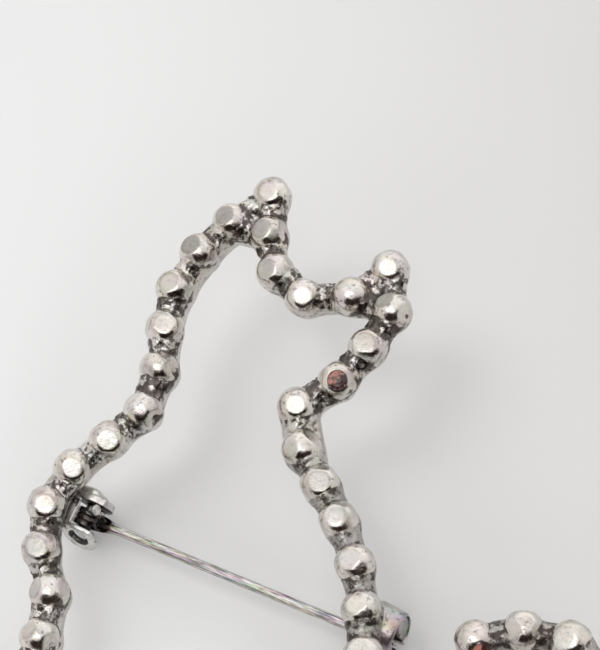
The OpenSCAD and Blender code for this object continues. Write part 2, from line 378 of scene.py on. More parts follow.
class Bead:
    def __init__(self, centre, along, shown, plain=False, seat=False, dull=0.0):
        self.centre = np.append(centre, 0.0)
        self.plain = plain
        self.dull = dull
        self.normals, self.heights = self.flats(along, [turned(*f) for f in shown])
        self.radius = BEAD_R - rng.uniform(0, 0.03)
        self.blend = rng.uniform(0.08, 0.17)
        if seat:
            self.heights[0] = SEAT_H
        self.neighbours = []

    def flats(self, along, shown):
        """Six flats square to each other, any other flat that shows, and small nicks."""
        if self.plain:
            return np.array([[0, 0, -1.0]]), np.array([FLAT_H])
        second = np.append(along, 0.0)
        if shown:
            first = shown[0]
            second = shown[1] if len(shown) > 1 else second
        else:
            roll = rng.uniform(-0.35, 0.35)
            side = np.array([-along[1], along[0], 0])
            first = cos(roll) * np.array([0, 0, 1.0]) + sin(roll) * side
        second = unit(second - first * second.dot(first))
        third = np.cross(first, second)
        normals = [first, second, third, -first, -second, -third]
        heights = [FLAT_H + rng.uniform(0.09, 0.19) for _ in normals]
        heights[0] = FLAT_H + rng.uniform(-0.03, 0.03)
        for other in shown[1:]:
            if abs(other.dot(shown[0])) > 0.3:
                normals.append(other)
                heights.append(FLAT_H + 0.05)
            else:
                heights[1] = FLAT_H + 0.02
        for _ in range(2):
            corner = first + rng.uniform(0.7, 1.3) * second * rng.choice([-1, 1])
            corner += rng.uniform(0.4, 1.2) * third * rng.choice([-1, 1])
            normals.append(unit(corner))
            heights.append(BEAD_R * rng.uniform(0.93, 0.965))
        return np.array(normals), np.array(heights)

    def distance(self, points):
        """Signed distance and its gradient: a ball cut by rounded flats."""
        blend = self.blend
        p = points - self.centre
        length = lengths(p)
        value = length - self.radius
        gradient = p / np.maximum(length, 1e-9)[:, None]
        for normal, height in zip(self.normals, self.heights):
            other = p @ normal - height
            share = np.clip(0.5 + 0.5 * (other - value) / blend, 0, 1)
            value = other * share + value * (1 - share) + blend * share * (1 - share)
            gradient = normal * share[:, None] + gradient * (1 - share)[:, None]
        return value, gradient

    def mesh(self, directions):
        """Points on the bead along the directions, their normals and marks."""
        reach = np.full(len(directions), self.radius)
        for _ in range(7):
            value, gradient = self.distance(self.centre + directions * reach[:, None])
            reach -= value / np.maximum((gradient * directions).sum(1), 0.3)
        points = self.centre + directions * reach[:, None]
        _, gradient = self.distance(points)
        normals = gradient / lengths(gradient)[:, None]
        cut = self.radius - reach
        flat = smooth(cut, 0.01, 0.06)
        above = (points - self.centre) @ self.normals[0] - self.heights[0]
        dull = self.dull * smooth(above, -0.05, -0.02)
        edge = smooth(cut, 0.0, 0.03) * smooth(cut, 0.11, 0.05)
        # Oxide in the hollows together with painted shade: darker low down by the strip and near each
        # neighbour, further round on the run side.
        grime = smooth(points[:, 2], -0.55, -1.25)
        for other in self.neighbours:
            gap = lengths(points - other) - BEAD_R
            below = (other - self.centre)[:2] @ np.array(RUN_SIDE) > 0
            grime = np.maximum(grime, smooth(gap, 1.05 if below else 0.5, 0.12))
        # Painted shade: a dark patch on each bead's lower side that stands for the dark reflection there.
        painted_dark_reflection = smooth(tipped(normals) @ unit(PAINTED_SHADE_SIDE), 0.74, 0.93)
        grime = np.maximum(grime, 0.43 * painted_dark_reflection * (1 - 0.6 * flat))
        return points, normals, flat, edge, grime, dull


def make_beads():
    """The beads of the front row, and those of the back row with the ears."""
    def row_beads(row, places, first, flats, dulls, plain, seat):
        for i in range(first, len(row)):
            along = unit(row[min(i + 1, len(row) - 1)] - row[max(i - 1, 0)])
            yield Bead(places[i], along, flats.get(i, []), i == plain, i == seat, dulls.get(i, 0.0))

    fronts = list(row_beads(front, front_places, 0, FRONT_FLATS, FRONT_DULL, None, len(front) - 1))
    backs = list(row_beads(back, back_places, 1, BACK_FLATS, BACK_DULL, PLAIN_BEAD, FACE_SEAT))
    for ear, shown, link in zip(ears, EAR_FLATS, (links[0], links[2])):
        backs.append(Bead(ear, unit(link[1] - link[0]), shown))
    made = {tuple(np.round(bead.centre, 4)): bead for bead in fronts + backs}
    for pair in pairs_of(front) + pairs_of(back) + links:
        a, b = [np.append(bead_place(p), 0) for p in pair]
        made[tuple(np.round(a, 4))].neighbours.append(b)
        made[tuple(np.round(b, 4))].neighbours.append(a)
    return fronts, backs


def bead_place(p):
    """Where the bead of a row point sits once it is nudged."""
    for point, place in zip(front + back, front_places + back_places):
        if dist(point, p) < 0.001:
            return place
    return p


def bead_object(name, beads):
    directions, faces = icosphere(5)
    parts, all_faces = [], []
    for i, bead in enumerate(beads):
        parts.append(bead.mesh(directions))
        all_faces.append(faces + i * len(directions))
    points, normals, flat, edge, grime, dull = [np.concatenate(part) for part in zip(*parts)]
    marks = {"flat": flat, "edge": edge, "grime": grime * oxide_and_shade_kept(points), "dull": dull}
    return make_object(name, points, np.concatenate(all_faces), marks, normals)


def oxide_and_shade_kept(points):
    """How much of the oxide and painted shade is kept: less on the face and chest than on the cat's back.
    """
    chest = smooth(points[:, 0], 0, 6) * smooth(points[:, 1], 9, 4)
    return 1 - 0.2 * smooth(points[:, 0], -6, 4) - 0.45 * chest


# Solder and strip: a blended skin over ribbons, webs and the beads' feet

def segment_distance(points, a, b):
    """Distance from points to a segment, in as many dimensions as they have."""
    ab = b - a
    t = np.clip(((points - a) @ ab) / ab.dot(ab), 0, 1)
    return lengths(points - a - t[:, None] * ab)


class Solder:
    def __init__(self, pairs, spread, beads):
        self.pairs = pairs
        self.spread = spread
        near = {}
        for pair, change in zip(pairs, spread):
            for p in pair:
                near.setdefault(tuple(np.round(p, 5)), []).append(change)
        self.feet = [(foot, FOOT_R + sum(changes) / len(changes)) for foot, changes in near.items()]
        self.beads = [b for b in beads if self.at_foot(b.centre)]
        self.webs = []
        for a, b in pairs:
            lift = WEB_Z + rng.uniform(-0.15, 0.15)
            radius = WEB_R + rng.uniform(-0.08, 0.1)
            self.webs.append((*[np.append(bead_place(p), lift) for p in (a, b)], radius))

    def at_foot(self, centre):
        return min(dist(centre[:2], foot) for foot, _ in self.feet) < 4

    def metal(self, points):
        """Distance to the wall under the row blended with the webs."""
        flat = points[:, :2]
        total = np.full(len(points), 1e-30)
        for (a, b), change in zip(self.pairs, self.spread):
            near = np.abs(flat - (a + b) / 2).max(axis=1) < NEAR
            d = segment_distance(flat[near], a, b) - WALL_HALF - change
            total[near] += np.exp(-d / WALL_BLEND)
        for foot, radius in self.feet:
            near = np.abs(flat - foot).max(axis=1) < NEAR
            d = lengths(flat[near] - foot) - radius
            total[near] += np.exp(-d / WALL_BLEND)
        across = -WALL_BLEND * np.log(total) + WALL_ROUND
        middle = (WALL_TOP - STRIP_BACK) / 2
        deep = np.abs(points[:, 2] - middle) - (WALL_TOP + STRIP_BACK) / 2 + WALL_ROUND
        inside = np.minimum(np.maximum(across, deep), 0)
        wall = inside + np.hypot(np.maximum(across, 0), np.maximum(deep, 0)) - WALL_ROUND
        total = np.exp(-wall / WEB_BLEND)
        for a, b, radius in self.webs:
            near = np.abs(flat - (a + b)[:2] / 2).max(axis=1) < NEAR
            d = segment_distance(points[near], a, b) - radius
            total[near] += np.exp(-d / WEB_BLEND)
        return -WEB_BLEND * np.log(total + 1e-30)

    def near_beads(self, points):
        """Each bead with the points near it, their distance and how far to its run side."""
        for bead in self.beads:
            near = np.abs(points - bead.centre).max(axis=1) < 2.6
            if near.any():
                value, _ = bead.distance(points[near])
                offset = (points[near] - bead.centre)[:, :2]
                yield near, value, offset @ unit(RUN_SIDE) / (lengths(offset) + 0.2)

    def beads_distance(self, points):
        """Distance to the nearest bead, and how far round to its run side that is."""
        nearest, side = np.full(len(points), 5.0), np.zeros(len(points))
        for near, value, run in self.near_beads(points):
            side[near] = np.where(value < nearest[near], run, side[near])
            nearest[near] = np.minimum(nearest[near], value)
        return nearest, side

    def distance(self, points):
        """The skin: metal that runs up each bead's lower side and dives inside it."""
        metal = self.metal(points)
        inward = 0.05 + 0.9 * smooth(metal, 0.1, 0.75)
        total = metal.copy()
        for near, value, run in self.near_beads(points):
            blend = UPPER_BLEND + (LOWER_BLEND - UPPER_BLEND) * smooth(run, -0.3, 0.6)
            ball, wall = value + inward[near], metal[near]
            share = np.clip(0.5 + 0.25 * (ball - wall) / blend, 0, 1)
            skin = wall * share + ball * (1 - share) - 2 * blend * share * (1 - share)
            total[near] = np.minimum(total[near], skin)
        return total

    def oxide(self, points, amounts):
        """The joints' amounts of oxide, blended along the row."""
        total, weights = np.zeros(len(points)), np.full(len(points), 1e-9)
        for (a, b), amount in zip(self.pairs, amounts):
            weight = np.exp(-lengths(points[:, :2] - (a + b) / 2) / 0.35)
            total += weight * amount
            weights += weight
        return total / weights

    def slope(self, points, value, step=0.02):
        return np.stack([self.distance(points + step * axis) - value for axis in np.eye(3)], 1) / step

    def settle(self, points, rounds=5):
        """Moves points onto the skin along its gradient."""
        for _ in range(rounds):
            value = self.distance(points)
            slope = self.slope(points, value)
            size = np.maximum((slope**2).sum(1), 0.25)
            points = points - np.clip(value / size, -0.15, 0.15)[:, None] * slope
        return points


def lumps(points, wavelengths, seed):
    """Smooth noise between about -1 and 1: a sum of waves in many directions."""
    waves = np.random.default_rng(seed)
    total = np.zeros(len(points))
    for _ in range(18):
        direction = unit(waves.normal(size=3))
        pitch = waves.uniform(*wavelengths)
        total += np.sin(points @ direction * 2 * pi / pitch + waves.uniform(0, 6.28))
    return total / 4.2


def prism(outline, low, high):
    """A straight prism over an outline that runs counter-clockwise."""
    n = len(outline)
    points = [[*p, z] for z in (low, high) for p in outline]
    faces = [list(range(n - 1, -1, -1)), list(range(n, 2 * n))]
    faces += [[i, (i + 1) % n, (i + 1) % n + n, i + n] for i in range(n)]
    return points, faces


def rough_solder(pairs, name):
    """Plain prisms, tubes and balls along the row, fused into one mesh."""
    shape = Shape()
    ball, ball_faces = icosphere(3)
    ring = [(cos(i * pi / 8), sin(i * pi / 8)) for i in range(16)]
    for a, b in pairs:
        side = left_of(a, b)
        wide = side * (WALL_HALF + 0.1)
        shape.add(*prism([a - wide, b - wide, b + wide, a + wide], -STRIP_BACK, WALL_TOP))
        web = [[*(end + side * u * WEB_R), WEB_Z + v * WEB_R] for end in (a, b) for u, v in ring]
        shape.add(web, prism(ring, 0, 1)[1])
        for end in (a, b):
            shape.add([*end, WEB_Z] + ball * (WEB_R + 0.1), ball_faces.tolist())
            disc = [end + np.array(p) * (FOOT_R + 0.08) for p in ring]
            shape.add(*prism(disc, -STRIP_BACK, WALL_TOP))
    obj = shape.object(name)
    modifier = obj.modifiers.new("fuse", "REMESH")
    modifier.mode = "VOXEL"
    modifier.voxel_size = 0.165 * MM
    fused = bpy.data.meshes.new_from_object(obj.evaluated_get(bpy.context.evaluated_depsgraph_get()))
    bpy.data.objects.remove(obj)
    return fused


def solder_object(name, pairs, spread, amounts, beads):
    fused = rough_solder(pairs, name)
    points = np.zeros(len(fused.vertices) * 3)
    fused.vertices.foreach_get("co", points)
    points = from_row(points.reshape(-1, 3))
    faces = [list(f.vertices) for f in fused.polygons]
    solder = Solder(pairs, spread, beads)
    points = solder.settle(points)
    slope = solder.slope(points, solder.distance(points))
    slope /= lengths(slope)[:, None] + 1e-9
    bead_gap, side = solder.beads_distance(points)
    top = smooth(points[:, 2], -0.9, -0.1) * smooth(bead_gap, 0.0, 0.15)
    chest = smooth(points[:, 0], -1, 3) * smooth(points[:, 1], 14, 9)
    rough = 0.014 * lumps(points, (1.2, 2.6), 3)
    rough += top * (0.07 - 0.04 * chest) * lumps(points, (0.35, 0.9), 4)
    creep = smooth(points[:, 2], -STRIP_BACK, -STRIP_BACK + 0.1)
    points = points + slope * (rough * creep)[:, None]
    grime = solder.oxide(points, amounts) * smooth(points[:, 2], -0.9, -0.15)
    grime *= smooth(bead_gap, 1.3, 0.2)
    # Painted shade: a dark line on the upper side of each bead where it meets the solder, where the bead
    # shades the joint.
    painted_shade_line = smooth(bead_gap, 0.13, 0.02) * smooth(side, 0.3, -0.1)
    grime = np.maximum(grime, 0.95 * painted_shade_line * oxide_and_shade_kept(points))
    nothing = np.zeros(len(points))
    dull = np.maximum(0.35 * smooth(points[:, 2], -0.55, -0.95), chest)
    marks = {"grime": grime, "flat": nothing, "edge": nothing, "dull": dull}
    return make_object(name, points, faces, marks)


# Rings, arcs and tubes of the hinge and catch

def rounded_section(inner, outer, half, bevel, steps=4):
    """Closed cross-section of a ring, (radius, across) pairs, with round edges."""
    near, far, side = inner + bevel, outer - bevel, half - bevel
    section = []
    for k, (r, w) in enumerate([(near, -side), (far, -side), (far, side), (near, side)]):
        for i in range(steps + 1):
            a = radians(180 + 90 * k + 90 * i / steps)
            section.append((r + bevel * cos(a), w + bevel * sin(a)))
    return section


def sweep_grid(columns, closed):
    """Faces over columns of equal length, closed round each column."""
    n, m = len(columns), len(columns[0])
    points = np.array(columns).reshape(-1, 3)
    faces = []
    for i in range(n if closed else n - 1):
        here, there = i * m, (i + 1) % n * m
        for k in range(m):
            after = (k + 1) % m
            faces.append([here + k, here + after, there + after, there + k])
    if not closed:
        faces.append(list(range(m - 1, -1, -1)))
        faces.append(list(range((n - 1) * m, n * m)))
    return points, faces


def arc_ring(centre, axis, inner, outer, width, bevel, start=0.0, end=360.0, steps=96, shift=0.0):
    """A ring or an arc of one about an axis, "x" or "y"; angles from +y or +x towards +z."""
    closed = end - start >= 359.9
    count = steps if closed else max(8, int(steps * (end - start) / 360)) + 1
    columns = []
    for i in range(count):
        t = i / count if closed else i / (count - 1)
        a = radians(start + (end - start) * t)
        reach = outer(a) if callable(outer) else outer
        column = []
        for r, w in rounded_section(inner, reach, width / 2, bevel):
            u, v, w = r * cos(a), r * sin(a), w + shift
            column.append(np.add(centre, (w, u, v) if axis == "x" else (u, w, v)))
        columns.append(column)
    return sweep_grid(columns, closed)


def block(low, high, bevel, steps=3):
    """A box with rounded edges: a rounded outline, drawn in at top and bottom."""
    rings = []
    for i in range(steps + 1):
        a = pi / 2 * i / steps
        rings.append((bevel * (1 - sin(a)), low[2] + bevel * (1 - cos(a))))
    rings += [(inset, low[2] + high[2] - z) for inset, z in reversed(rings)]
    columns = []
    for inset, z in rings:
        column = []
        for k, (cx, cy) in enumerate([(1, 1), (0, 1), (0, 0), (1, 0)]):
            x = high[0] - bevel if cx else low[0] + bevel
            y = high[1] - bevel if cy else low[1] + bevel
            for i in range(steps + 1):
                a = radians(90 * k + 90 * i / steps)
                column.append([x + (bevel - inset) * cos(a), y + (bevel - inset) * sin(a), z])
        columns.append(column)
    return sweep_grid(columns, False)


def tube(path, radii, flatten=None, sides=28):
    """A round tube along a path; flatten gives (across, deep) factors for each point."""
    tangents = np.gradient(np.array(path, float), axis=0)
    columns = []
    for p, t, r, (across, depth) in zip(path, tangents, radii, flatten or [(1, 1)] * len(path)):
        t = unit(t)
        side = unit(np.array([0, 1.0, 0]) - t * t[1])
        deep = np.cross(t, side)
        column = []
        for k in range(sides):
            a = 2 * pi * k / sides
            column.append(p + r * (side * cos(a) * across + deep * sin(a) * depth))
        columns.append(column)
    return sweep_grid(columns, False)


def ear_outline(angle):
    """Radius of an ear's edge: round, with square shoulders up to the plate."""
    u, v = cos(angle), sin(angle)
    if v <= 0.05:
        return EAR_R
    side = EAR_SIDES[u < 0] / max(abs(u), 0.01)
    return max(EAR_R, min(side, (PLATE_Z + PLATE_T + PIN_DEPTH) / v))


def leaned(points, place):
    """The lower ear bent out from the plate, away from the coil."""
    depth = PLATE_Z - points[:, 2]
    out = points[:, 1] - place
    angle = radians(EAR_LEAN) * smooth(depth, -0.1, 0.4)
    y = place + out * np.cos(angle) - depth * np.sin(angle)
    z = PLATE_Z - depth * np.cos(angle) - out * np.sin(angle)
    return np.stack([points[:, 0], y, z], -1)


def hinge_bracket():
    """Two ears on a plate with a bent lip, on a foot, with solder beside the upper ear."""
    shape = Shape()
    axis = (HINGE_X, 0, -PIN_DEPTH)
    for side in (-1, 1):
        thick = EAR_T if side > 0 else LOWER_EAR_T
        place = side * (EAR_GAP + thick) / 2
        points, faces = arc_ring(axis, "y", RIVET_R + 0.01, ear_outline, thick, 0.16, shift=place)
        arm = points[:, [0, 2]] - [HINGE_X, -PIN_DEPTH]
        reach = lengths(arm)
        face = EAR_GAP / 2 + thick
        opened = smooth(reach, 0.95, 0.8) * smooth(np.abs(points[:, 1]), face - 0.3, face - 0.15)
        points[:, [0, 2]] += arm * (0.2 * opened / reach)[:, None]
        # Painted shade: the ears' inner faces and the ring round the rivet hole are darkened.
        inner = smooth(np.abs(points[:, 1]), EAR_GAP / 2 + 0.12, EAR_GAP / 2)
        if side < 0:
            points = leaned(points, place)
        shape.add(points, faces, np.maximum(0.95 * inner, smooth(reach, 0.76, 0.7)))
    x, top = HINGE_X - PLATE_REACH, PLATE_Z + PLATE_T
    tip = x + PLATE_LEN + LIP
    points, faces = block((x, -HINGE_HALF, PLATE_Z), (tip, HINGE_HALF, top), 0.12)
    under = smooth(points[:, 2], top - 0.1, PLATE_Z + 0.1)
    points[:, 0] -= LIP * under * (points[:, 0] > x + PLATE_LEN - 0.2)
    # Painted shadow: the plate is darkened underneath and all along except near its tip, where the strip
    # above shades the gap.
    painted_plate_shade = smooth(points[:, 2], top - 0.15, PLATE_Z + 0.1)
    painted_plate_shade = np.maximum(painted_plate_shade, smooth(points[:, 0], tip - 0.1, tip - 0.16))
    shape.add(points, faces, 0.95 * painted_plate_shade)
    # The foot in the gap is darkened too, as painted shade.
    shape.add(*block((x + 0.1, -1.4, top - 0.1), (x + 1.1, 1.4, 0.15 - STRIP_BACK), 0.1), 0.8)
    # The solder: a rounded cube, stretched and tapered
    points, faces = block((0, 0, 0), (1, 1, 1), 0.3, 6)
    up = points[:, 2].copy()
    points[:, 2] = -PIN_DEPTH + 0.1 + 1.5 * up
    inner, outer = EAR_GAP / 2 + 0.1, HINGE_HALF + 0.1 + 0.5 * up
    points[:, 1] = inner + (outer - inner) * points[:, 1]
    points[:, 0] = HINGE_X - 1.5 + points[:, 0] * (3.0 - 1.0 * up)
    shape.add(points, faces, 0.08)
    return shape.object("hinge_bracket")


def crowned(points, inner):
    """The outside of the housing drawn in towards its free end."""
    arm = points[:, 1:] - [CATCH_Y, CATCH_Z]
    radius = lengths(arm)
    far = np.clip((points[:, 0] - HOUSING_X - 0.7) / (HOUSING_W + HOUSING_END - 0.7), 0, 1)
    drawn = inner + (radius - inner) * (1 - 0.8 * far**4)
    turned_in = [CATCH_Y, CATCH_Z] + arm * (drawn / radius)[:, None]
    return np.column_stack([points[:, 0], turned_in])


def catch_housing():
    """An arc round the sleeve, with a slot for the pin and a window for the tab."""
    shape = Shape()
    window = 180 - degrees(asin((TAB_T / 2 + TAB_PLAY) / SLEEVE_R))
    inner = SLEEVE_R + 0.05
    side_w = (HOUSING_W - TAB_W) / 2 - TAB_PLAY
    beside = (HOUSING_W - side_w) / 2
    for width, shift, bevel, start, end, grime in (
        (HOUSING_W + HOUSING_END, HOUSING_END / 2, 0.24, HOUSING_ARC[0], window, 0.06),
        (side_w, -beside, 0.15, window - 3, HOUSING_ARC[1], 0),
        (side_w + HOUSING_END, beside + HOUSING_END / 2, 0.15, window - 3, HOUSING_ARC[1], 0),
    ):
        points, faces = arc_ring(CATCH_AXIS, "x", inner, HOUSING_R, width, bevel, start, end, shift=shift)
        shape.add(crowned(points, inner), faces, grime)
    low = (HOUSING_X + 0.05, CATCH_Y - 1.2, -STRIP_BACK - 0.4)
    high = (HOUSING_X + HOUSING_W - 0.05, CATCH_Y + 1.2, -STRIP_BACK + 0.2)
    shape.add(*block(low, high, 0.15), 0.5)
    return shape.object("catch_housing")


def catch_sleeve():
    """An arc inside the housing, with its finger tab and the tab's ribs."""
    shape = Shape()
    width, shift = HOUSING_W + 0.47, 0.26
    points, faces = arc_ring(CATCH_AXIS, "x", SLEEVE_BORE, SLEEVE_R, width, 0.14, *SLEEVE_ARC, shift=shift)
    radius = np.hypot(points[:, 1] - CATCH_Y, points[:, 2] - CATCH_Z)
    shape.add(points, faces, 0.95 * smooth(radius, SLEEVE_BORE + 0.12, SLEEVE_BORE + 0.02))
    # The closed part of its end, clear of the pin
    shift += width / 2 - 0.17
    shape.add(*arc_ring(CATCH_AXIS, "x", 0.2, SLEEVE_BORE + 0.1, 0.3, 0.09, *SLEEVE_END_ARC, shift=shift))
    x = CATCH_AXIS[0]
    low = (x - TAB_W / 2, CATCH_Y - TAB_REACH, CATCH_Z - TAB_T / 2)
    high = (x + TAB_W / 2, CATCH_Y - SLEEVE_BORE - 0.1, CATCH_Z + TAB_T / 2)
    shape.add(*block(low, high, 0.14))
    for i in range(3):
        y = CATCH_Y - TAB_REACH + 0.2 + 0.3 * i
        low = (x - TAB_W / 2 + 0.08, y, CATCH_Z - TAB_T / 2 - 0.05)
        high = (x + TAB_W / 2 - 0.08, y + 0.16, CATCH_Z + TAB_T / 2 + 0.05)
        shape.add(*block(low, high, 0.05), 0.2)
    return shape.object("catch_sleeve_body")


def rivet():
    """A tube with its ends opened out by the setting punch."""
    shape = Shape()
    half = EAR_GAP / 2 + 0.15
    outside = [(RIVET_R, 0.1), (RIVET_R - 0.03, 0.02), (RIVET_R - 0.08, 0)]
    inside = [(RIVET_R - 0.14, 0.04), (RIVET_BORE + 0.03, 0.5), (RIVET_BORE, 0.7)]
    profile = [(r, w - half) for r, w in outside + inside]
    profile += [(r, -w) for r, w in reversed(profile)]
    columns = []
    for i in range(72):
        a = 2 * pi * i / 72
        columns.append([[HINGE_X + r * cos(a), w, -PIN_DEPTH + r * sin(a)] for r, w in profile])
    points, faces = sweep_grid(columns, True)
    # The rivet is painted dark all over: painted shade for the dark inside of the hole.
    shape.add(points, faces, 1.2)
    return shape.object("rivet_tube")


def pin():
    """The wire: a flattened coil round the rivet, a drawn-out root and a ground point."""
    shape = Shape()
    steps = 220
    wall = KNUCKLE_R - RIVET_R - 0.05
    r = KNUCKLE_R - wall / 2
    travel = KNUCKLE_W - 0.6
    path = []
    for wound in np.linspace(0, COIL_TURNS, steps + 1):
        angle = radians(COIL_END) - 2 * pi * (COIL_TURNS - wound)
        y = travel * (wound / COIL_TURNS - 0.5)
        path.append([HINGE_X + r * sin(angle), y, -PIN_DEPTH - r * cos(angle)])
    points, faces = coil_ribbon(path, wall, RIBBON_W)
    left = np.repeat(np.linspace(COIL_TURNS, 0, steps + 1), len(points) // (steps + 1))
    shape.add(points, faces, 0.95 * smooth(left, 0.05, 0.25))
    shank = 0.2 + (PIN_LEN - POINT_LEN - 0.2) * np.linspace(0, 1, 61) ** 1.6
    out = np.concatenate([shank, np.linspace(PIN_LEN - POINT_LEN, PIN_LEN, 16)[1:]])
    radii = np.interp(out, [0, PIN_LEN - POINT_LEN, PIN_LEN - 0.4, PIN_LEN], [WIRE_R, WIRE_R, 0.13, 0.05])
    wide = 1 + 0.75 * smooth(out, 3.2, 0.9)
    thin = 1 - 0.25 * smooth(out, 3.2, 0.9)
    drop = -PIN_DEPTH - 0.35 * smooth(out, 2.6, 0.6)
    path = np.stack([HINGE_X + out, 0 * out, drop], -1)
    points, faces = tube(path, radii, list(zip(wide, thin)))
    shape.add(points, faces, 0.9 * smooth(points[:, 0], HINGE_X + 3.1, HINGE_X + 1.6))
    return shape.object("pin_wire_stem")


def cut_end():
    """The snipped end of the coil's wire, turned up from the coil."""
    shape = Shape()
    path = [np.array(CUT_END) + unit(CUT_TOWARDS) * t for t in (-0.75, -0.05, 0.02, 0.08, 0.1, 0.11)]
    points, faces = tube(path, [0.3, 0.43, 0.45, 0.44, 0.41, 0.05])
    back = (CUT_END - points) @ unit(CUT_TOWARDS)
    shape.add(points, faces, 0.9 * smooth(back, 0.1, 0.35))
    return shape.object("pin_cut_end")


def coil_ribbon(path, thick, wide):
    """A flattened wire wound along the path, thick outwards from the hinge axis."""
    columns = []
    for p in path:
        out = unit([p[0] - HINGE_X, 0, p[2] + PIN_DEPTH])
        column = []
        for k in range(16):
            a = 2 * pi * k / 16
            u = copysign(abs(cos(a)) ** 0.6, cos(a)) * thick / 2
            v = copysign(abs(sin(a)) ** 0.6, sin(a)) * wide / 2
            column.append(p + out * u + np.array([0, v, 0]))
        columns.append(column)
    return sweep_grid(columns, False)


# Stones

def placed(points, centre, turn):
    normal = turned(*turn)
    side = unit(np.cross([0, 0, 1.0], normal))
    return np.asarray(points) @ [side, np.cross(normal, side), normal] + [*centre, 0]


def stone(name, centre, turn):
    """A small round stone: a table, two rows of crown facets and a girdle."""
    top = SEAT_H + 0.12
    # radius, height, turn in half facets
    levels = [(0.3, 0.05, 0), (0.56, 0.0, 1), (0.77, -0.1, 0), (0.78, -0.14, 1), (0.78, -0.4, 1)]
    sides = 9
    points, faces = [], []
    for r, z, twist in levels:
        for i in range(sides):
            a = 2 * pi * (i + twist / 2) / sides
            wobble = rng.uniform(-0.02, 0.02)
            points.append([(r + wobble) * cos(a), (r + wobble) * sin(a), top + z + wobble])
    faces.append(list(range(sides)))
    for ring, (upper, lower) in enumerate(pairs_of(levels)):
        for i in range(sides):
            ends = (i, (i + 1) % sides)
            a, b, c, d = [k * sides + end for k in (ring, ring + 1) for end in ends]
            if upper[2] < lower[2]:
                faces += [[a, c, b], [b, c, d]]
            elif upper[2] > lower[2]:
                faces += [[a, c, d], [a, d, b]]
            else:
                faces.append([a, c, d, b])
    faces.append([len(points) - 1 - i for i in range(sides)])
    points = placed(points, centre, turn)
    # Painted shade: each stone is darker towards its run side.
    shade = smooth((points[:, :2] - centre) @ unit(RUN_SIDE), 0.0, 1.1)
    return make_object(name, points, faces, {"shade": shade}, flat_shaded=True)


def rim(name, centre, turn):
    """The polished rim that holds a stone."""
    points, faces = arc_ring((0, 0, 0), "y", 0.775, 0.825, 0.3, 0.022, steps=72)
    points = np.stack([points[:, 0], points[:, 2], points[:, 1] + SEAT_H - 0.12], -1)
    faces = [f[::-1] for f in faces]
    return make_object(name, placed(points, centre, turn), faces, {"grime": np.full(len(points), 1.5)})


# Materials

class Nodes:
    """Short helpers to build a node tree."""

    def __init__(self, tree):
        self.tree = tree

    def feed(self, socket, value):
        """Links a node's output to a socket, or sets the socket's own value."""
        if isinstance(value, bpy.types.NodeSocket):
            self.tree.links.new(value, socket)
        else:
            socket.default_value = value

    def add(self, kind, **inputs):
        node = self.tree.nodes.new(kind)
        self.set(node, **inputs)
        return node

    def set(self, node, **inputs):
        for key, value in inputs.items():
            self.feed(node.inputs[key.replace("_", " ")], value)

    def noise(self, where, scale, detail=3.0, rough=0.55):
        node = self.add("ShaderNodeTexNoise", Vector=where, Scale=scale, Detail=detail, Roughness=rough)
        return node.outputs["Fac"]

    def tint(self, where, scale, detail):
        return self.add("ShaderNodeTexNoise", Vector=where, Scale=scale, Detail=detail).outputs["Color"]

    def span(self, value, low, high, out_low=0.0, out_high=1.0):
        node = self.add("ShaderNodeMapRange", Value=value)
        self.set(node, From_Min=low, From_Max=high, To_Min=out_low, To_Max=out_high)
        return node.outputs["Result"]

    def math(self, operation, a, b):
        node = self.tree.nodes.new("ShaderNodeMath")
        node.operation = operation
        self.feed(node.inputs[0], a)
        self.feed(node.inputs[1], b)
        return node.outputs[0]

    def times(self, a, b):
        return self.math("MULTIPLY", a, b)

    def plus(self, a, b):
        return self.math("ADD", a, b)

    def dot(self, vector, towards):
        node = self.tree.nodes.new("ShaderNodeVectorMath")
        node.operation = "DOT_PRODUCT"
        self.feed(node.inputs[0], vector)
        self.feed(node.inputs[1], towards)
        return node.outputs["Value"]

    def mix(self, share, a, b, blend="MIX"):
        node = self.tree.nodes.new("ShaderNodeMix")
        node.data_type = "RGBA"
        node.blend_type = blend
        for place, value in ((0, share), (6, a), (7, b)):
            self.feed(node.inputs[place], (*value, 1.0) if isinstance(value, tuple) else value)
        return node.outputs[2]

    def mark(self, name):
        node = self.tree.nodes.new("ShaderNodeAttribute")
        node.attribute_name = name
        return node.outputs["Fac"]

    def bump(self, height, strength, distance):
        node = self.add("ShaderNodeBump", Height=height, Strength=strength, Distance=distance)
        return node.outputs["Normal"]


def new_material(name):
    material = bpy.data.materials.new(name)
    material.use_nodes = True
    nodes = Nodes(material.node_tree)
    shader = material.node_tree.nodes["Principled BSDF"]
    return material, nodes, shader, nodes.add("ShaderNodeTexCoord").outputs["Object"]


